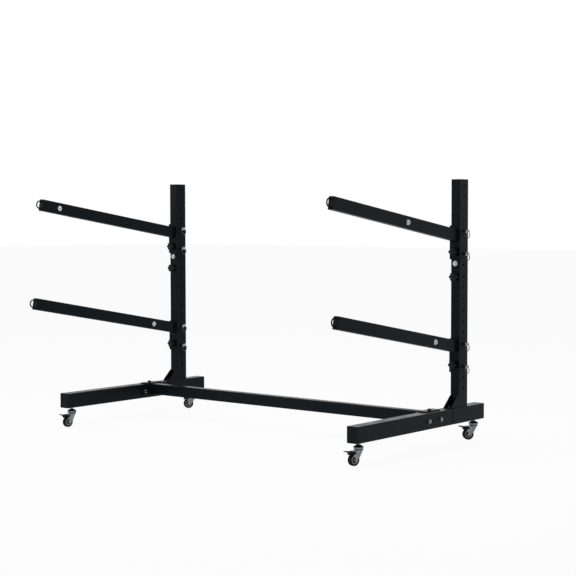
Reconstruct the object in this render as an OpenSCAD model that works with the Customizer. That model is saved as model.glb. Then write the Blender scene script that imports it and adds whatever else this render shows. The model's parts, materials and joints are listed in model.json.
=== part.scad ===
// Freestanding two-tier boat rack on four swivel casters.
// Two feet carry two jointed posts. Each post holds two arms on brackets that pin into its hole row.
// X runs along the crossbar, Y from the arm tips to the back, Z up from the floor. Sizes in millimetres.

/* [Feet] */
// Distance between the centre lines of the two posts
post_span = 1720; // [1000:10:2200]
// Length of each foot, front leg and rear piece together
foot_len = 950; // [840:10:1200]
// Width of the foot tube
foot_w = 56; // [50:1:80]
// Height of the foot tube
foot_h = 70; // [60:1:100]
// Wall of the foot tube
foot_wall = 2.5; // [2:0.5:4]
// Outer corner radius of the foot tube
foot_corner = 4; // [3:0.5:6]
// Length of foot behind the post
rear_overhang = 128; // [90:1:200]
// Length of the sleeve that joins the front leg to the rear piece
foot_splice_len = 140; // [80:2:150]
// Wall of the joint sleeves
splice_wall = 2.5; // [2:0.5:4]
// Gap between the front leg and the rear piece, over the sleeve
seam_gap = 4; // [0.5:0.5:6]

/* [Posts] */
// Width of the post tube, along X
post_w = 44; // [38:1:50]
// Depth of the post tube, along Y
post_d = 70; // [50:1:90]
// Wall of the post tube
post_wall = 2; // [1.5:0.5:4]
// Outer corner radius of the post tube
post_corner = 2; // [1.5:0.5:5]
// Holes in the lower section of each post
lower_holes = 11; // [9:1:14]
// Holes in the upper section of each post
upper_holes = 8; // [6:1:12]
// Distance between neighbouring holes
hole_pitch = 50; // [45:1:60]
// Diameter of the holes
hole_d = 11; // [10.5:0.5:14]
// Height of the lowest hole above the foot
first_hole = 80; // [60:1:120]
// Length of the sleeve inside the joint of a post
post_splice_len = 180; // [120:2:240]
// Joint knob below the joint
joint_knob_drop = 27; // [22:1:40]
// Joint bolt above the joint
joint_bolt_rise = 32; // [20:1:36]

/* [Gussets] */
// Length of a gusset along the foot
gusset_len = 55; // [40:1:100]
// Height of a gusset
gusset_h = 52; // [30:1:54]
// Thickness of a gusset
gusset_t = 4; // [3:0.5:6]

/* [Arm brackets] */
// Hole from the bottom of the lower section that takes the lower bracket's bottom pin
lower_level = 2; // [0:1:6]
// Hole from the bottom of the upper section that takes the upper bracket's bottom pin
upper_level = 1; // [1:1:4]
// Bracket above and below its pins
bracket_edge = 25; // [15:1:30]
// Thickness of the bracket
bracket_t = 4; // [3:0.5:6]
// How far back a bracket's sides reach on the post
bracket_side = 56; // [45:1:64]
// Clamping knob below the bracket's middle
bracket_knob_drop = 41; // [30:1:48]
// Each tier's arm centre line above its bracket's middle: upper, lower
arm_rise = [31, 41]; // [20:1:44]

/* [Arms] */
// Width of the arm tube
arm_w = 28; // [25:1:40]
// Height of the arm tube
arm_h = 54; // [40:1:60]
// Wall of the arm tube
arm_wall = 2; // [1.5:0.5:4]
// Outer corner radius of the arm tube
arm_corner = 3; // [2.5:0.5:5]
// Length of each arm along its centre line: upper left, upper right, lower left, lower right
arm_len = [890, 898, 939, 871]; // [820:1:1200]
// Rise of the upper arms in degrees
upper_slope = 8.9; // [0:0.1:15]
// Rise of the lower arms in degrees
lower_slope = 10.2; // [0:0.1:15]
// Side bolt of each arm from its bracket: upper left, upper right, lower left, lower right
arm_bolt_at = [790, 385, 156, 174]; // [50:1:790]
// Thickness of an arm end cap's face
arm_cap_t = 4; // [2:0.5:8]
// How far an arm end cap reaches into its tube
arm_cap_depth = 12; // [8:1:20]
// Bevel on the arm's root, which its weld fills
weld_bevel = 1.5; // [1:0.5:1.5]
// Wire of the strap rings
ring_wire = 6; // [4:0.5:8]
// Outer height of the strap rings
ring_h = 40; // [30:1:44]
// How far the strap rings stand out of the arm caps
ring_reach = 30; // [25:1:50]

/* [Crossbar] */
// Height of the crossbar tube
bar_h = 53; // [30:1:56]
// Depth of the crossbar tube
bar_d = 40; // [30:1:60]
// Wall of the crossbar tube
bar_wall = 2; // [1.5:0.5:4]
// Outer corner radius of the crossbar tube
bar_corner = 3; // [2.5:0.5:5]
// Middle of the crossbar ahead of the toes of the gussets
bar_ahead = 133; // [125:1:300]
// Top of the crossbar below the top of the feet
bar_drop = 0; // [0:0.5:4]
// Angle brackets ahead of the crossbar's front face
plate_ahead = 52; // [46:1:70]
// Their flanges ahead of the crossbar's front face
flange_ahead = 26; // [20:1:44]
// Angle brackets behind the crossbar's rear face
plate_behind = 40; // [30:1:50]
// Height of their upright plates
plate_h = 60; // [55:1:64]
// Thickness of the angle brackets
plate_t = 5; // [3:0.5:6]
// Width of the flange that laps over the foot
flange_w = 36; // [30:1:44]
// Front bolt through a foot ahead of the crossbar's front face
bolt_ahead = 37; // [30:1:40]
// Rear bolt through a foot behind the crossbar's rear face
bolt_behind = 13; // [12:1:20]

/* [Pins and knobs] */
// Diameter of a locking pin
pin_d = 10; // [8:0.1:10]
// How far a pin's head stands out of the post's side
pin_out = 27; // [25:1:45]
// How far a pin's tip shows past the bracket
pin_tip = 4; // [2:0.5:8]
// Outer diameter of a pull ring
pull_ring_d = 33; // [30:1:38]
// Wire of a pull ring
pull_wire = 3.5; // [2:0.5:3.5]
// Diameter across a knob's lobes
knob_d = 38; // [32:1:42]
// How far a knob stands out
knob_len = 25; // [20:1:35]
// Diameter of a knob's stud
stud_d = 8; // [6:1:10]
// Diameter of a knob's collar
knob_collar_d = 21; // [16:1:24]
// Height of a knob's collar
knob_collar_h = 9; // [6:1:12]
// Thickness of a knob's bevelled top
knob_top_t = 2; // [1:0.5:3]

/* [Fasteners] */
// Diameter of the bright bolts and the bolts on top of the feet
small_bolt_d = 8; // [6:1:8]
// Diameter of the bolts through the feet
foot_bolt_d = 10; // [8:1:12]
// Washer under a bright bolt's head
bright_washer_d = 24; // [20:1:26]
// Washer under the head of a bolt through a foot
foot_washer_d = 28; // [24:1:32]

/* [Casters] */
// Diameter of a wheel
wheel_d = 50; // [40:1:52]
// Width of a tyre
wheel_w = 18; // [14:1:20]
// Diameter of a wheel's hub
hub_d = 34; // [26:1:36]
// Diameter of a wheel's axle
axle_d = 8; // [6:1:10]
// Axle ahead of the stem
trail = 25; // [21:1:28]
// Room between the wheel and the fork's top plate
wheel_room = 15; // [14:1:20]
// Thickness of the fork's top plate
yoke_t = 4; // [3:0.5:6]
// Height of the swivel's race, above the top plate
race_h = 6; // [4:1:12]
// Height of the swivel's cap
swivel_cap_h = 10; // [8:0.5:14]
// Bare stem between the swivel's cap and the foot
stem_bare = 8; // [6:1:20]
// Diameter of a caster's stem
stem_d = 12; // [10:1:12]
// Diameter of the swivel
swivel_d = 42; // [38:1:46]
// Each stem from its end of its foot: front left, front right, rear left, rear right
stem_in = [44, 38, 54, 42]; // [30:1:56]
// Swivel angles: front left, front right, rear left, rear right
caster_turns = [-3, -14, -38, -40]; // [-180:1:180]
// Length of a brake pedal from its pivot
pedal_len = 36; // [32:1:42]
// Thickness of a brake pedal's cheeks
cheek_t = 2; // [1.5:0.5:3]
// How far a brake pedal presses down, in degrees
pedal_press = 15; // [10:1:16]

/* [Clearances] */
// Radial running clearance of turning parts
run_gap = 0.05; // [0.02:0.01:0.1]
// Gap between a bracket and the post
slide_gap = 0.4; // [0.2:0.1:0.8]
// Gap round sleeves and plugs in their tubes
plug_gap = 0.3; // [0.1:0.1:0.5]
// Radial gap round bolts
bolt_gap = 0.25; // [0.1:0.05:0.5]
// Gap between faces that turn or slide past each other
face_gap = 0.3; // [0.2:0.1:0.5]

/* [Hidden] */
$fn = 48;
eps = 1; // cuts run past the faces they open
tight_corner = 0.5; // least inner corner radius of a tube
fuse = 0.1; // overlap that joins two shapes of one piece

SIDES = [-1, 1];
TIERS = ["upper", "lower"];
ROWS = ["top", "bottom"];
ENDS = ["front", "rear"];
function side_name(side) = side < 0 ? "left" : "right";
function side_index(side) = side < 0 ? 0 : 1;

steel = [0.11, 0.125, 0.135];
dark_plastic = [0.05, 0.055, 0.06];
zinc = [0.62, 0.66, 0.7];
grey_plastic = [0.7, 0.68, 0.64];

// Heights
wheel_r = wheel_d / 2;
yoke_z = wheel_d + wheel_room;
race_z = yoke_z + yoke_t;
race_top = race_z + race_h;
swivel_cap_top = race_top + swivel_cap_h;
foot_bottom = swivel_cap_top + stem_bare;
foot_mid = foot_bottom + foot_h / 2;
foot_top = foot_bottom + foot_h;
function hole_z(index) = foot_top + first_hole + index * hole_pitch;
joint_z = hole_z(lower_holes - 1) + hole_pitch / 2;
post_top = hole_z(lower_holes + upper_holes - 1) + hole_pitch / 2;
function level(tier) = tier == "upper" ? lower_holes + upper_level : lower_level;
function bracket_z(tier) = hole_z(level(tier) + 1);
function pin_z(tier, row) = hole_z(level(tier) + (row == "top" ? 2 : 0));
bracket_h = 2 * (hole_pitch + bracket_edge);

// Places along Y, with the rack's front and back the same distance from the origin
post_x = post_span / 2;
cap_t = 3;
post_front_from_end = foot_len - rear_overhang - post_d;
ring_r = (ring_h - ring_wire) / 2;
ring_leg = ring_reach - ring_h / 2;
function slope(tier) = tier == "upper" ? upper_slope : lower_slope;
function rise(tier) = tier == "upper" ? arm_rise[0] : arm_rise[1];
function arm_index(side, tier) = (tier == "upper" ? 0 : 2) + side_index(side);
function arm_length(side, tier) = arm_len[arm_index(side, tier)];
function arm_bolt(side, tier) = arm_bolt_at[arm_index(side, tier)];
arm_reach = max([
    for (side = SIDES, tier = TIERS)
        (arm_length(side, tier) + arm_cap_t + ring_leg) * cos(slope(tier)) + ring_h / 2
]);
bracket_out = slide_gap + bracket_t;
front_overhang = arm_reach + bracket_out - post_front_from_end;
foot_front_y = (front_overhang - foot_len) / 2;
foot_rear_y = foot_front_y + foot_len;
post_front_y = foot_front_y + post_front_from_end;
post_mid_y = post_front_y + post_d / 2;
bracket_front_y = post_front_y - bracket_out;
seam_y = post_front_y - gusset_len;
bar_y = seam_y - bar_ahead;

// Crossbar ends
plate_front_y = bar_y - bar_d / 2 - plate_ahead;
plate_len = plate_ahead + bar_d + plate_behind;
foot_bolt_ys = [bar_y - bar_d / 2 - bolt_ahead, bar_y + bar_d / 2 + bolt_behind];
foot_inner_x = post_x - foot_w / 2;
bar_top = foot_top - bar_drop;
plate_bottom = foot_top - plate_h;
bar_half = foot_inner_x - plate_t;

// Fasteners: heads and nuts grow with the bolt
washer_t = 1.5;
function head_d(bolt) = 2.1 * bolt;
function head_h(bolt) = 0.7 * bolt;
function nut_af(bolt) = 1.65 * bolt;
function nut_h(bolt) = 0.8 * bolt;
socket_d = 5.5;
bolt_end = 3; // thread that shows past a nut
splice_bolt_y = seam_y + 14;
flange_bolt_in = 8; // flange bolts sit inward of the foot's middle

// Caster fork
kingpin_d = 18;
kingpin_t = 3;
stem_up = 22; // thread inside the foot
cap_rim = 2; // upright edge of the swivel's cap
cap_mouth = 2; // wall of the cap where the stem leaves it
race_lip = 2; // race wider than the top plate
leg_in = wheel_w / 2 + 1.5;
leg_t = 2.5;
leg_out = leg_in + leg_t;
leg_foot_r = 7;
leg_front = 4;
leg_back = 15;
heel = [trail - 20, wheel_r + 5];
knee = [trail + 3, wheel_r + 11];
boss_d = 14;

// Brake: a pedal on a pin through the fork's ears, with a shoe that meets the tyre when it is pressed
pivot = [trail + 7, wheel_d + 5];
pivot_d = 5;
ear_r = 6.5;
barrel_r = 4.5;
shoe_r = 3;
shoe_at = 46; // where the pressed shoe meets the tyre, in degrees above the axle
brake_gap = 0.4;
shoe_out = wheel_r + brake_gap + shoe_r;
shoe_pressed = [trail + shoe_out * cos(shoe_at), wheel_r + shoe_out * sin(shoe_at)] - pivot;
shoe = [
    shoe_pressed[0] * cos(pedal_press) - shoe_pressed[1] * sin(pedal_press),
    shoe_pressed[0] * sin(pedal_press) + shoe_pressed[1] * cos(pedal_press)
];
web_half = 2.5; // half the thickness of the web between pivot and shoe
pad_root = 8; // pad clears the ears, which it is wider than
pad_low = 5.5;
pad_high = 8.5;
pad_t = 3;
pad_corner = 4;
wedge = [14, 20]; // underside of the pad's wedge, from its root
pedal_w = 2 * leg_in - 2 * face_gap;
pad_w = 2 * (leg_out + face_gap + cheek_t);
cheek_in = 0.4; // cheeks stand in from the pad's edges
cheek_low = 7; // cheeks below the pivot
cheek_high = 5;
cheek_behind = 10;
function stem_y(end, side) =
    end == "front" ? foot_front_y + stem_in[side_index(side)] : foot_rear_y - stem_in[2 + side_index(side)];
function turn(end, side) = caster_turns[(end == "front" ? 0 : 2) + side_index(side)];

// ---- Shared shapes ----

module outline(w, h, r) {
    square([w - 2 * r, h], center = true);
    square([w, h - 2 * r], center = true);
    for (x = SIDES, y = SIDES)
        translate([x * (w / 2 - r), y * (h / 2 - r)]) circle(r);
}

// Rectangular tube along +Z; w along X and h along Y
module tube(w, h, wall, r, len) {
    linear_extrude(len)
        difference() {
            outline(w, h, r);
            outline(w - 2 * wall, h - 2 * wall, max(r - wall, tight_corner));
        }
}

// Plug with a face plate at Z 0 to cap, and a shank that reaches down into a tube
module tube_plug(w, h, wall, r, cap, depth) {
    linear_extrude(cap) outline(w, h, r);
    translate([0, 0, -depth])
        linear_extrude(depth + fuse)
            outline(w - 2 * wall - 2 * plug_gap, h - 2 * wall - 2 * plug_gap, r);
}

module along_y() { rotate([-90, 0, 0]) children(); }
module along_x() { rotate([0, 90, 0]) children(); }
module facing_front() { rotate([90, 0, 0]) children(); }

// Drawing whose X points ahead, along -Y, and whose Y points up
module side_on() { rotate([90, 0, -90]) children(); }

// Round hole along Z
module drill(d, len) { translate([0, 0, -eps]) cylinder(d = d, h = len + 2 * eps); }

// Bolt along -Z with its head above Z 0, on a washer
module socket_bolt(d, washer_d, len) {
    difference() {
        union() {
            translate([0, 0, -len]) cylinder(d = d, h = len + washer_t);
            cylinder(d = washer_d, h = washer_t);
            translate([0, 0, washer_t]) cylinder(d = head_d(d), h = head_h(d) - 1);
            translate([0, 0, washer_t + head_h(d) - 1]) cylinder(d1 = head_d(d), d2 = head_d(d) - 2, h = 1);
        }
        translate([0, 0, washer_t + head_h(d) - d / 2]) cylinder(d = socket_d, h = d, $fn = 6);
    }
}

module hex_bolt(d, washer_d, len) {
    translate([0, 0, -len]) cylinder(d = d, h = len + washer_t);
    cylinder(d = washer_d, h = washer_t);
    translate([0, 0, washer_t]) cylinder(d = nut_af(d) / cos(30), h = head_h(d), $fn = 6);
}

// Nut above Z 0
module nut(d) {
    difference() {
        cylinder(d = nut_af(d) / cos(30), h = nut_h(d), $fn = 6);
        drill(d + 2 * run_gap, nut_h(d));
    }
}

// ---- Feet ----

module foot_tube(from_y, to_y, side) {
    translate([side * post_x, from_y, foot_mid])
        along_y() tube(foot_w, foot_h, foot_wall, foot_corner, to_y - from_y);
}

module foot_side_holes(side) {
    for (y = foot_bolt_ys)
        translate([side * post_x - foot_w, y, foot_mid])
            along_x() drill(foot_bolt_d + 2 * bolt_gap, 2 * foot_w);
}

module stem_hole(end, side) {
    translate([side * post_x, stem_y(end, side), foot_bottom - eps])
        cylinder(d = stem_d + 2 * bolt_gap, h = foot_wall + 2 * eps);
}

module deck_hole(x, y, top, deep) {
    translate([x, y, top - deep]) drill(small_bolt_d + 2 * bolt_gap, deep);
}

function flange_bolt_x(side) = side * (post_x - flange_bolt_in);

module front_leg(side) {
    color(steel)
        difference() {
            foot_tube(foot_front_y, seam_y - seam_gap, side);
            foot_side_holes(side);
            stem_hole("front", side);
            deck_hole(flange_bolt_x(side), bar_y, foot_top, foot_wall);
        }
}

module rear_foot(side) {
    color(steel)
        difference() {
            foot_tube(seam_y, foot_rear_y, side);
            stem_hole("rear", side);
            deck_hole(side * post_x, splice_bolt_y, foot_top, foot_wall);
        }
}

module foot_splices() {
    inset = foot_wall + plug_gap;
    color(steel)
        for (side = SIDES)
            difference() {
                translate([side * post_x, seam_y - foot_splice_len / 2, foot_mid])
                    along_y()
                        tube(foot_w - 2 * inset, foot_h - 2 * inset, splice_wall, foot_corner, foot_splice_len);
                deck_hole(side * post_x, splice_bolt_y, foot_top - inset, splice_wall);
            }
}

// ---- Posts ----

module post_holes(side, first, last) {
    for (index = [first : last])
        translate([side * post_x - post_w, post_mid_y, hole_z(index)])
            along_x() drill(hole_d, 2 * post_w);
}

// Hole in the front wall, for a stud or bolt
module front_hole(side, z, d) {
    translate([side * post_x, post_mid_y, z]) facing_front() drill(d, post_d / 2);
}

module lower_post(side) {
    color(steel)
        difference() {
            translate([side * post_x, post_mid_y, foot_top])
                tube(post_w, post_d, post_wall, post_corner, joint_z - foot_top);
            post_holes(side, 0, lower_holes - 1);
            front_hole(side, joint_z - joint_knob_drop, stud_d + 2 * run_gap);
        }
}

module upper_post(side) {
    color(steel)
        difference() {
            translate([side * post_x, post_mid_y, joint_z])
                tube(post_w, post_d, post_wall, post_corner, post_top - joint_z);
            post_holes(side, lower_holes, lower_holes + upper_holes - 1);
            front_hole(side, joint_z + joint_bolt_rise, small_bolt_d + 2 * bolt_gap);
        }
}

module post_splices() {
    inset = post_wall + plug_gap;
    reach = ceil(post_splice_len / 2 / hole_pitch);
    color(steel)
        for (side = SIDES)
            difference() {
                translate([side * post_x, post_mid_y, joint_z - post_splice_len / 2])
                    tube(post_w - 2 * inset, post_d - 2 * inset, splice_wall, post_corner, post_splice_len);
                post_holes(side, lower_holes - reach, lower_holes + reach - 1);
                front_hole(side, joint_z + joint_bolt_rise, small_bolt_d + 2 * bolt_gap);
            }
}

module gussets() {
    color(steel)
        for (side = SIDES, edge = SIDES)
            translate([side * post_x + edge * (post_w - gusset_t) / 2 - gusset_t / 2, post_front_y, foot_top])
                rotate([90, 0, 90])
                    linear_extrude(gusset_t)
                        polygon([
                            [0, 0], [-gusset_len, 0], [-gusset_len, gusset_t], [-gusset_t, gusset_h],
                            [0, gusset_h]
                        ]);
}

module tube_caps() {
    plug = 15;
    color(dark_plastic)
        for (side = SIDES) {
            translate([side * post_x, foot_front_y, foot_mid])
                facing_front() tube_plug(foot_w, foot_h, foot_wall, foot_corner, cap_t, plug);
            translate([side * post_x, foot_rear_y, foot_mid])
                along_y() tube_plug(foot_w, foot_h, foot_wall, foot_corner, cap_t, plug);
            translate([side * post_x, post_mid_y, post_top])
                tube_plug(post_w, post_d, post_wall, post_corner, cap_t, plug);
        }
}

// ---- Crossbar ----

module crossbar() {
    color(steel)
        translate([-bar_half, bar_y, bar_top - bar_h / 2])
            along_x() tube(bar_h, bar_d, bar_wall, bar_corner, 2 * bar_half);
}

module bar_end_brackets() {
    color(steel)
        for (side = SIDES)
            difference() {
                translate([0, plate_front_y, 0])
                    rotate([-90, 0, 0])
                        linear_extrude(plate_len)
                            polygon([
                                [side * bar_half, -plate_bottom], [side * foot_inner_x, -plate_bottom],
                                [side * foot_inner_x, -foot_top], [side * (foot_inner_x + flange_w), -foot_top],
                                [side * (foot_inner_x + flange_w), -foot_top - plate_t],
                                [side * bar_half, -foot_top - plate_t]
                            ]);
                translate([side * foot_inner_x, plate_front_y, foot_top + plate_t])
                    cube([3 * flange_w, 2 * (plate_ahead - flange_ahead), 2 * plate_t], center = true);
                foot_side_holes(side);
                deck_hole(flange_bolt_x(side), bar_y, foot_top + plate_t, plate_t);
            }
}

// ---- Arm brackets and arms ----

module arm_bracket(side, tier) {
    inner_w = post_w + 2 * slide_gap;
    outer_w = inner_w + 2 * bracket_t;
    depth = bracket_out + bracket_side;
    color(steel)
        translate([side * post_x, bracket_front_y, bracket_z(tier)])
            difference() {
                translate([-outer_w / 2, 0, -bracket_h / 2]) cube([outer_w, depth, bracket_h]);
                translate([-inner_w / 2, bracket_t, -bracket_h / 2 - eps])
                    cube([inner_w, depth, bracket_h + 2 * eps]);
                for (z = [-hole_pitch, hole_pitch])
                    translate([-outer_w / 2, bracket_out + post_d / 2, z]) along_x() drill(hole_d, outer_w);
                translate([0, bracket_t, -bracket_knob_drop])
                    facing_front() drill(stud_d + 2 * run_gap, bracket_t);
            }
}

// An arm's own frame: Y 0 at the bracket, -Y along the arm
module on_arm(side, tier) {
    translate([side * post_x, bracket_front_y, bracket_z(tier) + rise(tier)])
        rotate([-slope(tier), 0, 0])
            children();
}

module arm(side, tier) {
    len = arm_length(side, tier);
    root_half = arm_h / 2 / cos(slope(tier));
    bevel = weld_bevel * sqrt(2);
    color(steel)
        difference() {
            on_arm(side, tier)
                difference() {
                    translate([0, -len, 0]) along_y() tube(arm_w, arm_h, arm_wall, arm_corner, len + arm_h);
                    translate([-arm_w, -arm_bolt(side, tier), 0])
                        along_x() drill(small_bolt_d + 2 * bolt_gap, 2 * arm_w);
                }
            translate([side * post_x, bracket_front_y, bracket_z(tier) + rise(tier)]) {
                translate([-arm_w, 0, -2 * arm_h]) cube([2 * arm_w, 2 * arm_h, 4 * arm_h]);
                for (edge = SIDES)
                    translate([0, 0, edge * root_half])
                        rotate([45, 0, 0]) cube([2 * arm_w, bevel, bevel], center = true);
            }
        }
}

module arm_caps() {
    color(dark_plastic)
        for (side = SIDES, tier = TIERS)
            on_arm(side, tier)
                translate([0, -arm_length(side, tier), 0])
                    facing_front() tube_plug(arm_w, arm_h, arm_wall, arm_corner, arm_cap_t, arm_cap_depth);
}

module strap_rings() {
    color(steel)
        for (side = SIDES, tier = TIERS)
            on_arm(side, tier)
                translate([0, -arm_length(side, tier) - arm_cap_t, 0]) {
                    for (edge = SIDES)
                        translate([0, 0, edge * ring_r]) facing_front() cylinder(d = ring_wire, h = ring_leg);
                    translate([0, -ring_leg, 0])
                        rotate([0, 90, 0])
                            rotate([0, 0, 180])
                                rotate_extrude(angle = 180) translate([ring_r, 0]) circle(d = ring_wire);
                }
}

// ---- Fasteners ----

module bright_bolts() {
    through_arm = arm_w + nut_h(small_bolt_d) + bolt_end;
    through_joint = post_wall + plug_gap + splice_wall + nut_h(small_bolt_d) + bolt_end;
    color(zinc)
        for (side = SIDES) {
            for (tier = TIERS)
                on_arm(side, tier)
                    translate([arm_w / 2, -arm_bolt(side, tier), 0])
                        along_x() socket_bolt(small_bolt_d, bright_washer_d, through_arm);
            translate([side * post_x, post_front_y, joint_z + joint_bolt_rise])
                facing_front() socket_bolt(small_bolt_d, bright_washer_d, through_joint);
        }
}

module foot_bolts() {
    through = foot_w + plate_t + nut_h(foot_bolt_d) + bolt_end;
    color(zinc)
        for (side = SIDES, y = foot_bolt_ys)
            translate([side * (post_x + foot_w / 2), y, foot_mid])
                rotate([0, side * 90, 0]) hex_bolt(foot_bolt_d, foot_washer_d, through);
}

module deck_bolts() {
    head_washer = head_d(small_bolt_d) + 1;
    through_flange = plate_t + foot_wall + nut_h(small_bolt_d) + bolt_end;
    through_splice = foot_wall + plug_gap + splice_wall + nut_h(small_bolt_d) + bolt_end;
    color(zinc)
        for (side = SIDES) {
            translate([flange_bolt_x(side), bar_y, foot_top + plate_t])
                socket_bolt(small_bolt_d, head_washer, through_flange);
            translate([side * post_x, splice_bolt_y, foot_top])
                socket_bolt(small_bolt_d, head_washer, through_splice);
        }
}

module lock_nuts() {
    color(zinc)
        for (side = SIDES) {
            for (tier = TIERS)
                on_arm(side, tier)
                    translate([-arm_w / 2, -arm_bolt(side, tier), 0]) rotate([0, -90, 0]) nut(small_bolt_d);
            translate([side * post_x, post_front_y + post_wall + plug_gap + splice_wall, joint_z + joint_bolt_rise])
                along_y() nut(small_bolt_d);
            for (y = foot_bolt_ys)
                translate([side * bar_half, y, foot_mid]) rotate([0, -side * 90, 0]) nut(foot_bolt_d);
            translate([flange_bolt_x(side), bar_y, foot_top - foot_wall]) mirror([0, 0, 1]) nut(small_bolt_d);
            translate([side * post_x, splice_bolt_y, foot_top - foot_wall - plug_gap - splice_wall])
                mirror([0, 0, 1]) nut(small_bolt_d);
        }
}

// ---- Knobs and pins ----

// Star knob on a face at Y 0, with its stud going in by stud_len
module star_knob(stud_len) {
    grip_h = knob_len - knob_collar_h - knob_top_t;
    lobes = 6;
    lobe_r = knob_d / lobes;
    top_in = 3; // how far the bevelled top draws in
    facing_front() {
        translate([0, 0, -stud_len]) cylinder(d = stud_d, h = stud_len + face_gap + eps);
        translate([0, 0, face_gap]) cylinder(d = knob_collar_d, h = knob_collar_h);
        translate([0, 0, knob_collar_h])
            linear_extrude(grip_h) {
                circle(r = knob_d / 2 - lobe_r);
                for (lobe = [1 : lobes])
                    rotate(lobe * 360 / lobes) translate([knob_d / 2 - lobe_r, 0]) circle(r = lobe_r);
            }
        translate([0, 0, knob_collar_h + grip_h])
            cylinder(r1 = knob_d / 2 - lobe_r, r2 = knob_d / 2 - lobe_r - top_in, h = knob_top_t);
    }
}

module bracket_knob(side, tier) {
    color(dark_plastic)
        translate([side * post_x, bracket_front_y, bracket_z(tier) - bracket_knob_drop])
            star_knob(bracket_out - slide_gap / 2);
}

module joint_knob(side) {
    color(dark_plastic)
        translate([side * post_x, post_front_y, joint_z - joint_knob_drop])
            star_knob(post_wall + plug_gap / 2);
}

// Locking pin along X, with a pull ring through its head
module lock_pin(side, tier, row) {
    side_out = post_w / 2 + bracket_out;
    collar_t = 4;
    collar_over = 4; // collar wider than the head
    head_w = 12;
    tip_bevel = 1;
    dimple = 2;
    head_from = side_out + face_gap + collar_t;
    head_to = post_w / 2 + pin_out;
    ring_x = head_to - head_w / 2;
    loop_r = (pull_ring_d - pull_wire) / 2;
    // The loop sags across the head, so its hole is wider than the wire
    sag = loop_r - sqrt(loop_r * loop_r - head_w * head_w / 4);
    color(zinc)
        translate([side * post_x, post_mid_y, pin_z(tier, row)]) {
            difference() {
                along_x() {
                    translate([0, 0, -side_out - pin_tip + tip_bevel])
                        cylinder(d = pin_d, h = 2 * side_out + pin_tip);
                    translate([0, 0, -side_out - pin_tip])
                        cylinder(d1 = pin_d - 2 * tip_bevel, d2 = pin_d, h = tip_bevel);
                    translate([0, 0, side_out + face_gap]) cylinder(d = head_w + collar_over, h = collar_t);
                    translate([0, 0, head_from]) cylinder(d = head_w, h = head_to - head_from);
                }
                translate([head_to - dimple, 0, 0]) along_x() cylinder(d = head_w / 2, h = dimple + eps);
                translate([ring_x, head_w, -sag / 2])
                    facing_front() cylinder(d = pull_wire + sag + 3 * face_gap, h = 2 * head_w);
            }
            translate([ring_x, 0, -loop_r])
                along_x() rotate_extrude() translate([loop_r, 0]) circle(d = pull_wire);
        }
}

// ---- Casters ----

// A caster's own frame: origin on the floor under the stem, wheel towards -Y
module on_caster(end, side) {
    translate([side * post_x, stem_y(end, side), 0]) rotate(turn(end, side)) children();
}

module caster_stems() {
    color(zinc)
        for (side = SIDES, end = ENDS)
            on_caster(end, side) {
                translate([0, 0, yoke_z - face_gap]) cylinder(d = stem_d, h = foot_bottom + stem_up - yoke_z);
                translate([0, 0, yoke_z - face_gap - kingpin_t]) cylinder(d = kingpin_d, h = kingpin_t);
                translate([0, 0, foot_bottom + foot_wall]) nut(stem_d);
            }
}

module swivel_caps() {
    bottom = race_top + face_gap;
    color(dark_plastic)
        for (side = SIDES, end = ENDS)
            on_caster(end, side)
                difference() {
                    union() {
                        translate([0, 0, bottom]) cylinder(d = swivel_d, h = cap_rim);
                        translate([0, 0, bottom + cap_rim])
                            cylinder(
                                r1 = swivel_d / 2, r2 = stem_d / 2 + cap_mouth,
                                h = swivel_cap_top - bottom - cap_rim
                            );
                    }
                    translate([0, 0, bottom]) drill(stem_d + 2 * run_gap, swivel_cap_top - bottom);
                }
}

module fork_leg() {
    linear_extrude(leg_t) {
        polygon([
            [-leg_back, race_z], [leg_front, race_z], [leg_front, pivot[1] + ear_r],
            pivot + [0, ear_r], pivot + [ear_r, 0], knee,
            [trail + leg_foot_r, wheel_r], [trail, wheel_r - leg_foot_r], heel, [-leg_back, yoke_z]
        ]);
        translate(pivot) circle(ear_r);
        translate([trail, wheel_r]) circle(leg_foot_r);
    }
}

module caster_fork(end, side) {
    width = 2 * leg_out;
    color(zinc)
        on_caster(end, side) {
            difference() {
                union() {
                    translate([0, 0, yoke_z]) cylinder(d = swivel_d - 2 * race_lip, h = yoke_t);
                    translate([0, 0, race_z]) cylinder(d = swivel_d, h = race_h);
                    for (x = [-leg_in, leg_out]) translate([x, 0, 0]) side_on() fork_leg();
                }
                translate([0, 0, yoke_z]) drill(stem_d + 2 * run_gap, race_top - yoke_z);
                translate([-width, -pivot[0], pivot[1]]) along_x() drill(pivot_d + 2 * run_gap, 2 * width);
                translate([-width, -trail, wheel_r]) along_x() drill(axle_d, 2 * width);
            }
            translate([leg_out, -trail, wheel_r]) along_x() hex_bolt(axle_d, boss_d + 1, width);
            translate([-leg_out, -trail, wheel_r]) rotate([0, -90, 0])
                cylinder(d = nut_af(axle_d) / cos(30), h = nut_h(axle_d), $fn = 6);
        }
}

module caster_hub(end, side) {
    web_t = wheel_w - 5;
    boss_w = pedal_w;
    rim_t = 4;
    color(grey_plastic)
        on_caster(end, side)
            translate([0, -trail, wheel_r])
                along_x()
                    difference() {
                        union() {
                            cylinder(d = boss_d, h = boss_w, center = true);
                            cylinder(d = hub_d - 2 * rim_t, h = web_t, center = true);
                            difference() {
                                cylinder(d = hub_d, h = wheel_w - 1, center = true);
                                cylinder(d = hub_d - 2 * rim_t, h = wheel_w + eps, center = true);
                            }
                        }
                        cylinder(d = axle_d + 2 * run_gap, h = boss_w + 2 * eps, center = true);
                    }
}

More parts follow.
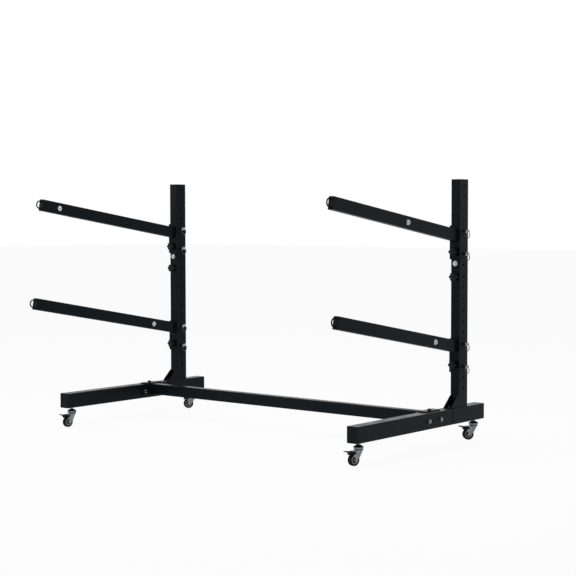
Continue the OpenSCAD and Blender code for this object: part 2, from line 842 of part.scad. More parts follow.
module caster_tyre(end, side) {
    shoulder = 2.5;
    groove = 1.5;
    color(dark_plastic)
        on_caster(end, side)
            translate([0, -trail, wheel_r])
                along_x()
                    rotate_extrude()
                        difference() {
                            union() {
                                translate([hub_d / 2 + run_gap, -wheel_w / 2])
                                    square([wheel_r - hub_d / 2 - run_gap - shoulder, wheel_w]);
                                translate([wheel_r - shoulder, -wheel_w / 2 + shoulder])
                                    square([shoulder, wheel_w - 2 * shoulder]);
                                for (y = SIDES)
                                    translate([wheel_r - shoulder, y * (wheel_w / 2 - shoulder)]) circle(shoulder);
                            }
                            for (y = [-2 * groove, groove])
                                translate([wheel_r - groove, y]) square([2 * groove, groove]);
                        }
}

module brake_pedal(end, side) {
    under = [shoe[1], -shoe[0]] * web_half / norm(shoe);
    color(dark_plastic)
        on_caster(end, side)
            translate([0, -pivot[0], pivot[1]]) {
                side_on() {
                    cylinder(d = pivot_d, h = pad_w, center = true);
                    linear_extrude(pedal_w, center = true) {
                        circle(barrel_r);
                        translate(shoe) circle(shoe_r);
                        polygon([
                            [0, barrel_r - fuse], [wedge[0], pad_low], shoe + [web_half, 0], shoe + under, under
                        ]);
                    }
                    for (z = [-pad_w / 2 + cheek_in, pad_w / 2 - cheek_t])
                        translate([0, 0, z])
                            linear_extrude(cheek_t - cheek_in)
                                polygon([
                                    [-cheek_behind, cheek_high], [pad_root + 2, cheek_high],
                                    [wedge[0] - 1.5, -1], [cheek_high, -cheek_low], [-cheek_high, -cheek_low],
                                    [-cheek_behind, -2]
                                ]);
                }
                intersection() {
                    side_on()
                        linear_extrude(pad_w, center = true)
                            polygon([
                                [pad_root, pad_low - pad_t], [pad_root, pad_low], [pedal_len, pad_high],
                                [pedal_len, pad_high - pad_t], [wedge[1], pad_low - pad_t],
                                [wedge[0], -pad_t]
                            ]);
                    translate([0, 0, -pedal_len])
                        linear_extrude(2 * pedal_len) outline(pad_w, 2 * pedal_len, pad_corner);
                }
            }
}

// ---- Nodes ----

for (side = SIDES) {
    front_leg(side);
    rear_foot(side);
    lower_post(side);
    upper_post(side);
    joint_knob(side);
}
for (tier = TIERS, side = SIDES) {
    arm_bracket(side, tier);
    arm(side, tier);
    bracket_knob(side, tier);
}
for (tier = TIERS, side = SIDES, row = ROWS) {
    lock_pin(side, tier, row);
}
for (end = ENDS, side = SIDES) {
    caster_fork(end, side);
    caster_hub(end, side);
    caster_tyre(end, side);
    brake_pedal(end, side);
}
foot_splices();
post_splices();
gussets();
tube_caps();
crossbar();
bar_end_brackets();
arm_caps();
strap_rings();
bright_bolts();
foot_bolts();
deck_bolts();
lock_nuts();
caster_stems();
swivel_caps();
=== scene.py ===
"""Looks of the freestanding two-tier rack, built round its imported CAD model. Metres, CAD frame."""

import json
import math

import bmesh
import bpy
from mathutils import Matrix, Vector


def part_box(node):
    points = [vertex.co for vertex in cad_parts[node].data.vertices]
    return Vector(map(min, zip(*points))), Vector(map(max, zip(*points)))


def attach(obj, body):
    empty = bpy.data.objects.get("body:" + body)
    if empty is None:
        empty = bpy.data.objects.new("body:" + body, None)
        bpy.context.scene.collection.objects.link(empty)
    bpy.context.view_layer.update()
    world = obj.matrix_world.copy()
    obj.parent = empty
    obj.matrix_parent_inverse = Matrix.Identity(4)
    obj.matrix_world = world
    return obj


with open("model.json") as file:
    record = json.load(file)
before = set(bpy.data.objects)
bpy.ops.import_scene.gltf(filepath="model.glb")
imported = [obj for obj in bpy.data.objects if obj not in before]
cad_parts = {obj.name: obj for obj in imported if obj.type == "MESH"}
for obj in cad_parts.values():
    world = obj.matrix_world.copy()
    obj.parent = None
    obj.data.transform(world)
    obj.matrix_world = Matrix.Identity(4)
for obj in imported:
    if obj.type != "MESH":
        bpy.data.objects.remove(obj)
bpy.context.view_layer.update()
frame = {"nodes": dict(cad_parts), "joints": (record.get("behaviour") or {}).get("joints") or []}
MM = 0.001
X, Y, Z = 0, 1, 2
JOINTS = {joint["name"]: joint for joint in frame["joints"]}
SIDES = ("left", "right")
TIERS = ("upper", "lower")
CASTERS = [(end, side) for end in ("front", "rear") for side in SIDES]


# ---- Camera, floor and light ----

CAMERA_AT = Vector((4.3706, -5.0558, 1.0260))
CAMERA_YAW = math.radians(39.39)  # from +Y towards -X
CAMERA_DROP = math.radians(2.966)
CAMERA_ROLL = math.radians(-0.09)
LENS = 91.15
SENSOR = 36.0
CLIP_END = 100

# The world's strength at the two ends of a range of cosines, measured from the view's heading
WORLD_COSINES = (-0.4, 1.0)
WORLD_STRENGTHS = (0.22, 1.25)

WHITE = (1, 1, 1, 1)
FLOOR_HALF = 30.0
FLOOR_COLOUR = (0.86, 0.86, 0.87, 1)
FLOOR_GLOW = 0.93  # share of plain white in the floor that the camera sees

LIT_POINT = (0, 0, 0.6)
LIGHTS = (  # name, place, width and height, watts
    ("overhead", (0.3, -0.6, 3.6), (3.4, 3.0), 62),
    ("fill", (-3.4, -3.6, 2.2), (2.4, 2.4), 26),
)


def link_to_scene(thing):
    bpy.context.scene.collection.objects.link(thing)


def map_range(tree, value, reads, gives):
    """A node that turns the range that it reads into the one that it gives, and stops at its ends."""
    node = tree.nodes.new("ShaderNodeMapRange")
    node.inputs["From Min"].default_value, node.inputs["From Max"].default_value = reads
    node.inputs["To Min"].default_value, node.inputs["To Max"].default_value = gives
    tree.links.new(value, node.inputs["Value"])
    return node.outputs["Result"]


def make_camera():
    ahead = Vector(
        (
            -math.sin(CAMERA_YAW) * math.cos(CAMERA_DROP),
            math.cos(CAMERA_YAW) * math.cos(CAMERA_DROP),
            -math.sin(CAMERA_DROP),
        )
    )
    right = Vector((math.cos(CAMERA_YAW), math.sin(CAMERA_YAW), 0))
    up = right.cross(ahead)
    turned_right = right * math.cos(CAMERA_ROLL) + up * math.sin(CAMERA_ROLL)
    turned_up = up * math.cos(CAMERA_ROLL) - right * math.sin(CAMERA_ROLL)
    data = bpy.data.cameras.new("camera")
    data.lens = LENS
    data.sensor_width = SENSOR
    data.clip_end = CLIP_END
    camera = bpy.data.objects.new("camera", data)
    turn = Matrix((turned_right, turned_up, -ahead)).transposed()
    camera.matrix_world = Matrix.Translation(CAMERA_AT) @ turn.to_4x4()
    link_to_scene(camera)
    bpy.context.scene.camera = camera


def make_world():
    """Plain white for the camera. As light it is strongest ahead of the camera and weakest behind it."""
    world = bpy.data.worlds.new("studio")
    bpy.context.scene.world = world
    world.use_nodes = True
    tree = world.node_tree
    nodes, links = tree.nodes, tree.links
    nodes.clear()
    output = nodes.new("ShaderNodeOutputWorld")
    mix = nodes.new("ShaderNodeMixShader")
    seen = nodes.new("ShaderNodeBackground")
    seen.inputs["Color"].default_value = WHITE
    lit = nodes.new("ShaderNodeBackground")
    rays = nodes.new("ShaderNodeLightPath")
    place = nodes.new("ShaderNodeTexCoord")
    cosine = nodes.new("ShaderNodeVectorMath")
    cosine.operation = "DOT_PRODUCT"
    cosine.inputs[1].default_value = (-math.sin(CAMERA_YAW), math.cos(CAMERA_YAW), 0)
    links.new(place.outputs["Generated"], cosine.inputs[0])
    strength = map_range(tree, cosine.outputs["Value"], WORLD_COSINES, WORLD_STRENGTHS)
    links.new(strength, lit.inputs["Strength"])
    links.new(rays.outputs["Is Camera Ray"], mix.inputs["Fac"])
    links.new(lit.outputs["Background"], mix.inputs[1])
    links.new(seen.outputs["Background"], mix.inputs[2])
    links.new(mix.outputs["Shader"], output.inputs["Surface"])


def make_floor():
    """A floor that takes shadows and light, and that the camera sees as nearly white."""
    mesh = bpy.data.meshes.new("floor")
    half = FLOOR_HALF
    corners = [(-half, -half, 0), (half, -half, 0), (half, half, 0), (-half, half, 0)]
    mesh.from_pydata(corners, [], [(0, 1, 2, 3)])
    floor = bpy.data.objects.new("floor", mesh)
    link_to_scene(floor)
    material = bpy.data.materials.new("floor")
    material.use_nodes = True
    nodes, links = material.node_tree.nodes, material.node_tree.links
    nodes.clear()
    output = nodes.new("ShaderNodeOutputMaterial")
    diffuse = nodes.new("ShaderNodeBsdfDiffuse")
    diffuse.inputs["Color"].default_value = FLOOR_COLOUR
    glow = nodes.new("ShaderNodeEmission")
    glow.inputs["Color"].default_value = WHITE
    rays = nodes.new("ShaderNodeLightPath")
    share = nodes.new("ShaderNodeMath")
    share.operation = "MULTIPLY"
    share.inputs[1].default_value = FLOOR_GLOW
    mix = nodes.new("ShaderNodeMixShader")
    links.new(rays.outputs["Is Camera Ray"], share.inputs[0])
    links.new(share.outputs[0], mix.inputs["Fac"])
    links.new(diffuse.outputs[0], mix.inputs[1])
    links.new(glow.outputs[0], mix.inputs[2])
    links.new(mix.outputs[0], output.inputs["Surface"])
    floor.data.materials.append(material)


def area_light(name, at, size, power):
    data = bpy.data.lights.new(name, "AREA")
    data.shape = "RECTANGLE"
    data.size, data.size_y = size
    data.energy = power
    light = bpy.data.objects.new(name, data)
    light.location = at
    light.rotation_euler = (Vector(LIT_POINT) - Vector(at)).to_track_quat("-Z", "Y").to_euler()
    link_to_scene(light)


bpy.context.scene.view_settings.view_transform = "Standard"
make_camera()
make_world()
make_floor()
for light in LIGHTS:
    area_light(*light)


# ---- Materials ----


class Surface:
    """A node material with one Principled shader. Its noises use object coordinates, the CAD frame's."""

    def __init__(self, name, roughness, metallic=0.0, specular=0.5, tint=None):
        self.material = bpy.data.materials.new(name)
        self.material.use_nodes = True
        self.tree = self.material.node_tree
        self.nodes, self.links = self.tree.nodes, self.tree.links
        self.shader = self.nodes["Principled BSDF"]
        self.shader.inputs["Roughness"].default_value = roughness
        self.shader.inputs["Metallic"].default_value = metallic
        self.shader.inputs["Specular IOR Level"].default_value = specular
        if tint:
            self.shader.inputs["Specular Tint"].default_value = (*tint, 1)
        self.place = self.nodes.new("ShaderNodeTexCoord")

    def noise(self, scale, detail, roughness=0.5):
        node = self.nodes.new("ShaderNodeTexNoise")
        node.inputs["Scale"].default_value = scale
        node.inputs["Detail"].default_value = detail
        node.inputs["Roughness"].default_value = roughness
        self.links.new(self.place.outputs["Object"], node.inputs["Vector"])
        return node.outputs["Fac"]

    def axes(self, coordinates):
        """X, Y and Z of one kind of texture coordinates."""
        node = self.nodes.new("ShaderNodeSeparateXYZ")
        self.links.new(self.place.outputs[coordinates], node.inputs["Vector"])
        return node.outputs

    def spread(self, value, low, high, from_low=0.3, from_high=0.7):
        return map_range(self.tree, value, (from_low, from_high), (low, high))

    def blend(self, factor, first, second):
        node = self.nodes.new("ShaderNodeMix")
        node.data_type = "RGBA"
        self.links.new(factor, node.inputs["Factor"])
        for socket, colour in ((node.inputs["A"], first), (node.inputs["B"], second)):
            if isinstance(colour, bpy.types.NodeSocket):
                self.links.new(colour, socket)
            else:
                socket.default_value = (*colour, 1)
        return node.outputs["Result"]

    def mottle(self, patches, first, second):
        """Soft patches of two colours; patches is a noise's (scale, detail)."""
        return self.blend(self.spread(self.noise(*patches), 0, 1), first, second)

    def finish(self, colour, wear, rough, *layers):
        """Sets colour, roughness and bumps, and gives the material.

        Wear is the noise of the roughness, and rough its spread. Each layer of bumps is (the noise's
        scale and detail, strength, distance in metres), and the first is the lowest.
        """
        self.links.new(colour, self.shader.inputs["Base Color"])
        self.links.new(self.spread(self.noise(*wear), *rough), self.shader.inputs["Roughness"])
        normal = None
        for scale, detail, strength, distance in layers:
            node = self.nodes.new("ShaderNodeBump")
            node.inputs["Strength"].default_value = strength
            node.inputs["Distance"].default_value = distance
            self.links.new(self.noise(scale, detail), node.inputs["Height"])
            if normal:
                self.links.new(normal, node.inputs["Normal"])
            normal = node.outputs["Normal"]
        self.links.new(normal, self.shader.inputs["Normal"])
        return self.material


def powder_coat():
    s = Surface("powder_coat", 0.33, specular=0.145, tint=(0.70, 0.87, 1.0))
    coat = s.mottle((5, 4), (0.0034, 0.0051, 0.0072), (0.0050, 0.0071, 0.0096))
    specks = s.spread(s.noise(900, 1), 0, 1, 0.62, 0.72)
    colour = s.blend(specks, coat, (0.012, 0.015, 0.018))
    return s.finish(colour, (14, 4), (0.27, 0.38), (420, 2, 0.22, 0.00025), (1500, 1, 0.12, 0.0001))


def zinc_plate():
    s = Surface("zinc_plate", 0.26, metallic=1.0)
    plate = s.mottle((60, 3), (0.52, 0.57, 0.62), (0.68, 0.70, 0.72))
    specks = s.spread(s.noise(420, 2), 0, 0.5, 0.5, 0.8)
    colour = s.blend(specks, plate, (0.36, 0.39, 0.43))
    return s.finish(colour, (260, 4, 0.7), (0.2, 0.36), (700, 3, 0.12, 0.0001))


def bolt_zinc():
    s = Surface("bolt_zinc", 0.3, metallic=0.2)
    colour = s.mottle((90, 3), (0.80, 0.83, 0.86), (0.93, 0.94, 0.95))
    return s.finish(colour, (260, 4, 0.7), (0.22, 0.38, 0, 1), (700, 3, 0.12, 0.0001))


# Where the pin's plating changes, as shares of each pin's own box: its ring hangs below the first of
# them, and its collar lies between the other two
PIN_ABOVE_RING = (0.56, 0.6)
PIN_COLLAR_START = (0.70, 0.71)
PIN_COLLAR_END = (0.84, 0.85)


def pin_zinc():
    """Bright on the pin and on the end of its head, and dull on its collar and its ring."""
    s = Surface("pin_zinc", 0.3, metallic=0.6)
    place = s.axes("Generated")
    on_pin = s.spread(place["Z"], 0, 1, *PIN_ABOVE_RING)
    past_collar = s.spread(place["X"], 0, 1, *PIN_COLLAR_END)
    on_collar = s.spread(place["X"], 0, 1, *PIN_COLLAR_START)
    bright = s.mottle((90, 3), (0.78, 0.81, 0.84), (0.90, 0.91, 0.92))
    dull = s.mottle((120, 3), (0.035, 0.040, 0.046), (0.095, 0.105, 0.115))
    along = s.blend(past_collar, s.blend(on_collar, bright, dull), bright)
    colour = s.blend(on_pin, dull, along)
    return s.finish(colour, (260, 4, 0.7), (0.24, 0.4, 0, 1), (700, 3, 0.12, 0.0001))


FOOT_WASHER_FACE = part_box("front_leg_right")[1].x + 1.5 * MM  # outer faces of the washers on the feet
HEAD_STARTS = (0.1 * MM, 0.3 * MM)  # past those faces


def dull_bolt():
    """Dark washers and deck bolts. The heads on the outer sides of the feet are brighter."""
    s = Surface("dull_bolt", 0.4, metallic=0.9)
    outward = s.nodes.new("ShaderNodeMath")
    outward.operation = "ABSOLUTE"
    s.links.new(s.axes("Object")["X"], outward.inputs[0])
    on_head = s.spread(outward.outputs[0], 0, 1, *[FOOT_WASHER_FACE + past for past in HEAD_STARTS])
    dark = s.mottle((140, 4), (0.030, 0.034, 0.040), (0.075, 0.085, 0.095))
    bright = s.mottle((90, 3), (0.27, 0.30, 0.33), (0.40, 0.42, 0.44))
    return s.finish(s.blend(on_head, dark, bright), (320, 3), (0.3, 0.48), (800, 3, 0.2, 0.0001))


def fork_zinc():
    s = Surface("fork_zinc", 0.34, metallic=1.0)
    plate = s.mottle((45, 4), (0.27, 0.31, 0.33), (0.46, 0.51, 0.53))
    stains = s.spread(s.noise(300, 2), 0, 0.6, 0.55, 0.8)
    colour = s.blend(stains, plate, (0.13, 0.16, 0.19))
    return s.finish(colour, (180, 4), (0.26, 0.44), (600, 3, 0.18, 0.0001))


def black_plastic():
    s = Surface("black_plastic", 0.5, specular=0.16, tint=(0.78, 0.9, 1.0))
    colour = s.mottle((40, 3), (0.0040, 0.0054, 0.0068), (0.0066, 0.0082, 0.0098))
    return s.finish(colour, (90, 3), (0.44, 0.6), (1300, 2, 0.3, 0.00012))


def knob_plastic():
    s = Surface("knob_plastic", 0.34, specular=0.3, tint=(0.62, 0.86, 1.0))
    colour = s.mottle((60, 3), (0.0036, 0.0058, 0.0078), (0.0058, 0.0088, 0.0114))
    return s.finish(colour, (110, 3), (0.28, 0.42), (1300, 2, 0.2, 0.0001))


def hub_plastic():
    s = Surface("hub_plastic", 0.4, specular=0.4)
    colour = s.mottle((120, 3), (0.43, 0.385, 0.335), (0.55, 0.505, 0.45))
    return s.finish(colour, (200, 3), (0.34, 0.5), (900, 2, 0.15, 0.0001))


def tyre_rubber():
    s = Surface("tyre_rubber", 0.72, specular=0.25)
    dust = s.spread(s.noise(150, 5, 0.65), 0, 0.6, 0.45, 0.8)
    colour = s.blend(dust, (0.0085, 0.0085, 0.009), (0.035, 0.034, 0.032))
    return s.finish(colour, (110, 3), (0.62, 0.82), (1100, 3, 0.35, 0.00015))


def dull_black(name, first, second):
    s = Surface(name, 0.7, specular=0.06)
    return s.finish(s.mottle((160, 4), first, second), (240, 3), (0.6, 0.8), (700, 3, 0.25, 0.0001))


POWDER = powder_coat()
ZINC = zinc_plate()
FORK = fork_zinc()
PIN = pin_zinc()
BOLT = dull_bolt()
BRIGHT = bolt_zinc()
PLASTIC = black_plastic()
HUB = hub_plastic()
RUBBER = tyre_rubber()
KNOB = knob_plastic()
# Painted shade: the hub's recessed web and its ribs are coloured dark where shade falls between the rim
# and the boss
PAINTED_HUB_SHADE = dull_black("painted_hub_shade", (0.016, 0.014, 0.012), (0.034, 0.031, 0.028))
# Painted shade, near black: in the gaps at the splices, on the rim of each fork's top plate, and in the
# sockets of the bright bolts' heads
PAINTED_SHADE = dull_black("painted_shade", (0.0012, 0.0014, 0.0018), (0.0026, 0.0029, 0.0034))
RING = dull_black("ring_coat", (0.0022, 0.0032, 0.0044), (0.0036, 0.0048, 0.0062))


# ---- CAD nodes: finish, softened edges and smooth round faces ----

FINISHES = (  # start of a node's name, material, bevel in millimetres; the first that fits is taken
    ("knob_", KNOB, 0.9),
    ("pedal_", PLASTIC, 0.9),
    ("tube_caps", PLASTIC, 1.4),
    ("arm_caps", PLASTIC, 1.8),
    ("swivel_caps", PLASTIC, 0.6),
    # The splices are coloured near black as painted shade in the gaps at the joints
    ("foot_splices", PAINTED_SHADE, 0),
    ("post_splices", PAINTED_SHADE, 0),
    ("strap_rings", RING, 0),
    ("tyre_", RUBBER, 0.25),
    ("hub_", HUB, 0.4),
    ("fork_", FORK, 0.5),
    ("pin_", PIN, 0.35),
    ("bright_bolts", BRIGHT, 0.35),
    ("lock_nuts", ZINC, 0.35),
    ("caster_stems", ZINC, 0.35),
    ("foot_bolts", BOLT, 0.4),
    ("deck_bolts", BOLT, 0.4),
    ("", POWDER, 0.7),
)
WELD_WITHIN = 0.00001
FLAT_WITHIN = math.radians(0.5)
BEVEL_OVER = math.radians(35)
BEVEL_SEGMENTS = 2
SMOOTH_UNDER = math.radians(32)
FACE_WEIGHT = 100


def smooth_group(name):
    """Geometry nodes that shade faces smooth, apart from edges as sharp as SMOOTH_UNDER."""
    group = bpy.data.node_groups.new(name, "GeometryNodeTree")
    for in_out in ("INPUT", "OUTPUT"):
        group.interface.new_socket("Geometry", in_out=in_out, socket_type="NodeSocketGeometry")
    nodes, links = group.nodes, group.links
    start, end = nodes.new("NodeGroupInput"), nodes.new("NodeGroupOutput")
    faces = nodes.new("GeometryNodeSetShadeSmooth")
    faces.domain = "FACE"
    faces.inputs["Shade Smooth"].default_value = True
    edges = nodes.new("GeometryNodeSetShadeSmooth")
    edges.domain = "EDGE"
    angle = nodes.new("GeometryNodeInputMeshEdgeAngle")
    compare = nodes.new("FunctionNodeCompare")
    compare.operation = "LESS_EQUAL"
    compare.inputs["B"].default_value = SMOOTH_UNDER
    links.new(start.outputs[0], faces.inputs["Geometry"])
    links.new(faces.outputs[0], edges.inputs["Geometry"])
    links.new(angle.outputs["Unsigned Angle"], compare.inputs["A"])
    links.new(compare.outputs[0], edges.inputs["Shade Smooth"])
    links.new(edges.outputs[0], end.inputs[0])
    return group


SMOOTH = smooth_group("smooth_faces")


def soften(piece, bevel):
    """Rounds a piece's edges by this width, or only shades its round faces smooth where it is 0."""
    if bevel:
        weld = piece.modifiers.new("weld", "WELD")
        weld.merge_threshold = WELD_WITHIN
        flat = piece.modifiers.new("flat", "DECIMATE")
        flat.decimate_type = "DISSOLVE"
        flat.angle_limit = FLAT_WITHIN
        flat.delimit = {"MATERIAL"}
        edge = piece.modifiers.new("edge", "BEVEL")
        edge.width = bevel
        edge.segments = BEVEL_SEGMENTS
        edge.limit_method = "ANGLE"
        edge.angle_limit = BEVEL_OVER
        edge.use_clamp_overlap = True
    shade = piece.modifiers.new("shade", "NODES")
    shade.node_group = SMOOTH
    if bevel:
        flatten = piece.modifiers.new("flatten", "WEIGHTED_NORMAL")
        flatten.weight = FACE_WEIGHT
        flatten.keep_sharp = True


def dress_cad_nodes():
    for name, node in frame["nodes"].items():
        material, bevel = next((m, b) for start, m, b in FINISHES if name.startswith(start))
        node.data.materials.clear()
        node.data.materials.append(material)
        soften(node, bevel * MM)


def darken(node, material, chosen):
    """Gives a second material, a painted shade, to the faces that are chosen by their middle and normal.
    """
    mesh = frame["nodes"][node].data
    mesh.materials.append(material)
    for face in mesh.polygons:
        if chosen(face.center, face.normal):
            face.material_index = 1


WEB_HALF = 7 * MM  # the hub's recessed web lies nearer its middle than this
PLATE_RIM = 17.5 * MM  # the fork's top plate has its rim farther than this from the swivel's axis
RIM_ABOVE_WHEEL = 15 * MM
RIM_HEIGHT = 4 * MM
FACING = 0.9  # least cosine between a face's normal and the axis that it faces along
UPRIGHT = 0.3  # most that an upright face's normal rises


def darken_caster(end, side):
    """Paints shade on the recessed webs of a hub and on the rim of a fork's top plate."""
    roll, swivel = JOINTS[f"roll_{end}_{side}"], JOINTS[f"swivel_{end}_{side}"]
    centre, axis = Vector(roll["pos_m"]), Vector(roll["axis"])
    stem = Vector(swivel["pos_m"])
    rim_low = centre.z * 2 + RIM_ABOVE_WHEEL
    rim_high = rim_low + RIM_HEIGHT

    def on_web(middle, normal):
        return abs((middle - centre).dot(axis)) < WEB_HALF and abs(normal.dot(axis)) > FACING

    def on_rim(middle, normal):
        away = (middle - stem).to_2d().length
        return rim_low < middle.z < rim_high and abs(normal.z) < UPRIGHT and away > PLATE_RIM

    darken(f"hub_{end}_{side}", PAINTED_HUB_SHADE, on_web)
    darken(f"fork_{end}_{side}", PAINTED_SHADE, on_rim)


def islands(node):
    """The boxes of a CAD node's separate solids, as (low, high) pairs."""
    mesh = frame["nodes"][node].data
    places = {}
    owner = list(range(len(mesh.vertices)))

    def find(i):
        while owner[i] != i:
            owner[i] = owner[owner[i]]
            i = owner[i]
        return i

    for v in mesh.vertices:
        key = tuple(round(c, 5) for c in v.co)
        if key in places:
            owner[find(v.index)] = find(places[key])
        else:
            places[key] = v.index
    for edge in mesh.edges:
        a, b = edge.vertices
        owner[find(a)] = find(b)
    groups = {}
    for v in mesh.vertices:
        groups.setdefault(find(v.index), []).append(v.co)
    return [
        tuple(Vector([pick(co[i] for co in group) for i in (X, Y, Z)]) for pick in (min, max))
        for group in groups.values()
    ]


SOCKET_REACH = 2.9 * MM  # radius round the socket in a bolt's head
SOCKET_DEEP = 6.5 * MM


def darken_sockets():
    """Paints shade in the sockets of the bright bolts' heads. The arm bolts' heads point to +X, and the
    heads of the bolts in the posts' joints to -Y.
    """
    heads = []
    for low, high in islands("bright_bolts"):
        middle = (low + high) / 2
        along_x = high.x - low.x > high.y - low.y
        if along_x:
            head = Vector((high.x, middle.y, middle.z))
        else:
            head = Vector((middle.x, low.y, middle.z))
        heads.append((head, along_x))

    def in_socket(middle, _normal):
        for head, along_x in heads:
            away = middle - head
            depth, side = (away.x, away.yz) if along_x else (away.y, away.xz)
            if abs(depth) < SOCKET_DEEP and side.length < SOCKET_REACH:
                return True
        return False

    darken("bright_bolts", PAINTED_SHADE, in_socket)


dress_cad_nodes()
for caster in CASTERS:
    darken_caster(*caster)
darken_sockets()


# ---- Pieces that the CAD model leaves plain ----


class Shape:
    """Vertices and faces gathered for one piece."""

    def __init__(self):
        self.verts, self.faces = [], []

    def rings(self, rings):
        """Joins a row of rings of points with quads, and fills its two ends."""
        base, count, sides = len(self.verts), len(rings), len(rings[0])
        for ring in rings:
            self.verts += ring
        for i in range(count - 1):
            a, b = base + i * sides, base + (i + 1) * sides
            for j in range(sides):
                k = (j + 1) % sides
                self.faces.append((a + j, a + k, b + k, b + j))
        self.faces.append(tuple(base + j for j in reversed(range(sides))))
        self.faces.append(tuple(base + (count - 1) * sides + j for j in range(sides)))


def add_piece(name, shape, material, body):
    mesh = bpy.data.meshes.new(name)
    mesh.from_pydata(shape.verts, [], shape.faces)
    mesh.update()
    bm = bmesh.new()
    bm.from_mesh(mesh)
    bmesh.ops.recalc_face_normals(bm, faces=bm.faces)
    bm.to_mesh(mesh)
    bm.free()
    mesh.materials.append(material)
    piece = bpy.data.objects.new(name, mesh)
    link_to_scene(piece)
    soften(piece, 0)
    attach(piece, body)


def ring_of(centre, across, up, radius, sides):
    turns = [2 * math.pi * k / sides for k in range(sides)]
    return [centre + across * (radius * math.cos(t)) + up * (radius * math.sin(t)) for t in turns]


NEAR_UPRIGHT = 0.9  # least rise of an axis whose directions are taken from +Y


def basis(axis):
    """Two directions square to an axis and to each other."""
    axis = Vector(axis).normalized()
    other = Vector((0, 0, 1)) if abs(axis.z) < NEAR_UPRIGHT else Vector((0, 1, 0))
    across = other.cross(axis).normalized()
    return across, axis.cross(across)


# Weld beads: rows of overlapping scales, as a welder leaves them
BEAD_STEP = 2.4 * MM
BEAD_SIDES = 8
RINGS_PER_STEP = 4
SCALE_LOW, SCALE_RISE = 0.78, 0.22  # a scale's size as it starts, and what it gains
BEAD_TIP = 0.4
POST_BEAD = 2.6 * MM
ARM_BEAD = 2.2 * MM
ROOT_BEVEL = 1.5 * MM


def bead(shape, corners, normal, radius, closed=False):
    """A bead along straight runs between corners; normal is square to the runs."""
    corners = [Vector(c) for c in corners]
    normal = Vector(normal).normalized()
    for start, end in zip(corners, corners[1:] + corners[:1] if closed else corners[1:]):
        along = (end - start).normalized()
        across = along.cross(normal)
        length = (end - start).length
        count = max(2, round(length / BEAD_STEP)) * RINGS_PER_STEP
        rings = []
        for i in range(count + 1):
            part = i % RINGS_PER_STEP / RINGS_PER_STEP
            size = radius * (SCALE_LOW + SCALE_RISE * math.sqrt(part))
            if i in (0, count):
                size = radius * BEAD_TIP
            centre = start + along * (length * i / count)
            rings.append(ring_of(centre, across, normal, size, BEAD_SIDES))
        shape.rings(rings)


def rectangle(low, high, axis):
    """Corners of a box's outline at its low side along an axis."""
    u, v = [i for i in (X, Y, Z) if i != axis]
    corners = []
    for a, b in ((low, low), (high, low), (high, high), (low, high)):
        corner = Vector(low)
        corner[u], corner[v] = a[u], b[v]
        corners.append(corner)
    return corners


def weld_beads():
    """Round the posts' lower ends, the arms' roots and the crossbar's ends, and along the gussets."""
    shape = Shape()
    for side in SIDES:
        low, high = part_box(f"lower_post_{side}")
        bead(shape, rectangle(low, high, Z), (0, 0, 1), POST_BEAD, closed=True)
    for low, high in islands("gussets"):
        post_low, post_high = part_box("lower_post_left" if low.x < 0 else "lower_post_right")
        outer = high.x if high.x > (post_low.x + post_high.x) / 2 else low.x
        bead(shape, [(outer, low.y, low.z), (outer, high.y, low.z)], (0, 0, 1), POST_BEAD)
    for tier in TIERS:
        for side in SIDES:
            node = frame["nodes"][f"arm_{tier}_{side}"]
            low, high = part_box(f"arm_{tier}_{side}")
            root = [v.co.z for v in node.data.vertices if v.co.y > high.y - MM]
            face_low = Vector((low.x, high.y, min(root) - ROOT_BEVEL))
            face_high = Vector((high.x, high.y, max(root) + ROOT_BEVEL))
            bead(shape, rectangle(face_low, face_high, Y), (0, 1, 0), ARM_BEAD, closed=True)
    low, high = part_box("crossbar")
    for x in (low.x, high.x):
        face_low, face_high = Vector((x, low.y, low.z)), Vector((x, high.y, high.z))
        bead(shape, rectangle(face_low, face_high, X), (1, 0, 0), ARM_BEAD, closed=True)
    add_piece("weld_beads", shape, POWDER, "frame")


# Screw threads: a ridge that winds along the plain shank
THREAD_SIDES = 5
THREAD_TURN = 20  # rings in one turn
RIDGE_SHARE = 0.3  # of the pitch
M8, M10, M12 = [(radius * MM, pitch * MM) for radius, pitch in ((4, 1.25), (5, 1.5), (6, 1.75))]
SHANK_MARGIN = 0.4 * MM  # from the shank's end to its thread
SHANK_THREAD = 2.4 * MM  # length of thread that a bolt shows past its nut
STEM_OVER = 20 * MM  # the stems are longer than this, and their nuts shorter


def thread(shape, start, end, size):
    radius, pitch = size
    axis = (end - start).normalized()
    across, up = basis(axis)
    length = (end - start).length
    count = max(THREAD_TURN, int(THREAD_TURN * length / pitch))
    rings = []
    for i in range(count + 1):
        t = 2 * math.pi * i / THREAD_TURN
        out = across * math.cos(t) + up * math.sin(t)
        centre = start + axis * (length * i / count) + out * radius
        rings.append(ring_of(centre, out, axis, pitch * RIDGE_SHARE, THREAD_SIDES))
    shape.rings(rings)


def shank_thread(shape, end_x, centre, inward, size):
    """Thread at the end of a bolt along X, where inward is 1 or -1."""
    start = Vector((end_x + inward * SHANK_MARGIN, centre.y, centre.z))
    thread(shape, start, start + Vector((inward * SHANK_THREAD, 0, 0)), size)


def screw_threads():
    shape = Shape()
    foot_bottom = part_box("front_leg_left")[0].z
    cap_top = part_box("swivel_caps")[1].z
    for low, high in islands("caster_stems"):
        if high.z - low.z >= STEM_OVER:
            centre = (low + high) / 2
            start = Vector((centre.x, centre.y, cap_top))
            thread(shape, start, Vector((centre.x, centre.y, foot_bottom)), M12)
    for low, high in islands("bright_bolts"):
        if high.x - low.x >= high.y - low.y:
            shank_thread(shape, low.x, (low + high) / 2, 1, M8)
    for low, high in islands("foot_bolts"):
        centre = (low + high) / 2
        end_x, inward = (low.x, 1) if centre.x > 0 else (high.x, -1)
        shank_thread(shape, end_x, centre, inward, M10)
    add_piece("screw_threads", shape, ZINC, "frame")


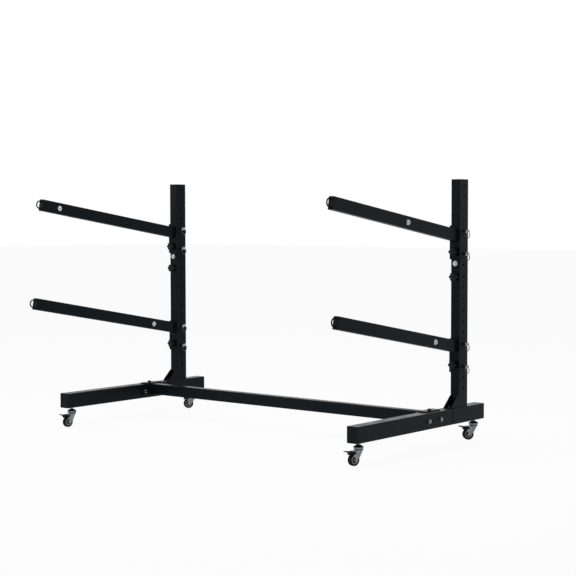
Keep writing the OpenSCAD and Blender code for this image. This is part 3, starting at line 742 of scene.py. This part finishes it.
# Ridges across the top of each brake pedal's pad
PAD_RIDGES = [21 * MM, 26 * MM, 31 * MM]  # from the pivot along the pad
PAD_RISE = math.atan2(3, 28)
PAD_TOP = 4.6 * MM  # of the pad, over the pivot
RIDGE_HALF = 11.5 * MM
RIDGE_RADIUS = 0.9 * MM
RIDGE_RINGS = 8
RIDGE_SIDES = 10
RIDGE_TIP = 0.08  # least share of the ridge's section, at its ends
RIDGE_POWER = 6  # the higher, the later a ridge narrows


def pedal_ridges(end, side):
    joint = JOINTS[f"press_{end}_{side}"]
    pivot, axis = Vector(joint["pos_m"]), Vector(joint["axis"])
    heading = Vector((axis.y, -axis.x, 0))
    along = heading * math.cos(PAD_RISE) + Vector((0, 0, math.sin(PAD_RISE)))
    up = Vector((0, 0, math.cos(PAD_RISE))) - heading * math.sin(PAD_RISE)
    shape = Shape()
    for distance in PAD_RIDGES:
        middle = pivot + along * distance + up * PAD_TOP
        rings = []
        for i in range(RIDGE_RINGS + 1):
            share = i / RIDGE_RINGS * 2 - 1
            size = RIDGE_RADIUS * math.sqrt(max(RIDGE_TIP, 1 - share**RIDGE_POWER))
            rings.append(ring_of(middle + axis * (RIDGE_HALF * share), along, up, size, RIDGE_SIDES))
        shape.rings(rings)
    add_piece(f"pedal_ridges_{end}_{side}", shape, PLASTIC, f"brake_{end}_{side}")


# Ribs on both faces of each hub's web, coloured with the web's painted shade
RIB_COUNT = 5
RIB_INNER, RIB_OUTER = 6.6 * MM, 13.4 * MM  # from the axle
RIB_HALF = 0.8 * MM
RIB_FOOT, RIB_TOP = 6.2 * MM, 7.9 * MM  # from the wheel's middle
RIB_TAPER = 0.6
RIB_SECTION = ((-1, RIB_FOOT), (1, RIB_FOOT), (RIB_TAPER, RIB_TOP), (-RIB_TAPER, RIB_TOP))


def hub_ribs(end, side):
    joint = JOINTS[f"roll_{end}_{side}"]
    centre, axis = Vector(joint["pos_m"]), Vector(joint["axis"])
    across, up = basis(axis)
    shape = Shape()
    for k in range(RIB_COUNT):
        turn = 2 * math.pi * k / RIB_COUNT
        out = across * math.cos(turn) + up * math.sin(turn)
        wide = axis.cross(out)
        for face in (-1, 1):
            rings = []
            for at in (centre + out * RIB_INNER, centre + out * RIB_OUTER):
                rings.append([at + wide * (w * RIB_HALF) + axis * (face * h) for w, h in RIB_SECTION])
            shape.rings(rings)
    add_piece(f"hub_ribs_{end}_{side}", shape, PAINTED_HUB_SHADE, f"wheel_{end}_{side}")


# A small domed cap in the middle of each knob, with a ring groove round it, turned about the knob's
# axis: millimetres in front of the knob's face, and radius in millimetres
KNOB_CAP = (
    (-1.5, 6.2),
    (0, 6.2),
    (0.25, 5.9),
    (0.25, 5.3),
    (-0.35, 5.1),
    (-0.35, 4.7),
    (0.3, 4.5),
    (0.55, 3),
    (0.65, 0.3),
)
CAP_SIDES = 32
KNOBS = [f"knob_{kind}_{side}" for kind in (*TIERS, "joint") for side in SIDES]


def knob_cap(name):
    joint = JOINTS[f"turn_{name}"]
    low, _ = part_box(name)
    at = Vector((joint["pos_m"][X], low.y, joint["pos_m"][Z]))
    ahead = Vector((0, -1, 0))
    across, up = basis(ahead)
    shape = Shape()
    shape.rings([ring_of(at + ahead * (d * MM), across, up, r * MM, CAP_SIDES) for d, r in KNOB_CAP])
    add_piece(f"cap_of_{name}", shape, KNOB, name)


weld_beads()
screw_threads()
for caster in CASTERS:
    pedal_ridges(*caster)
    hub_ribs(*caster)
for name in KNOBS:
    knob_cap(name)
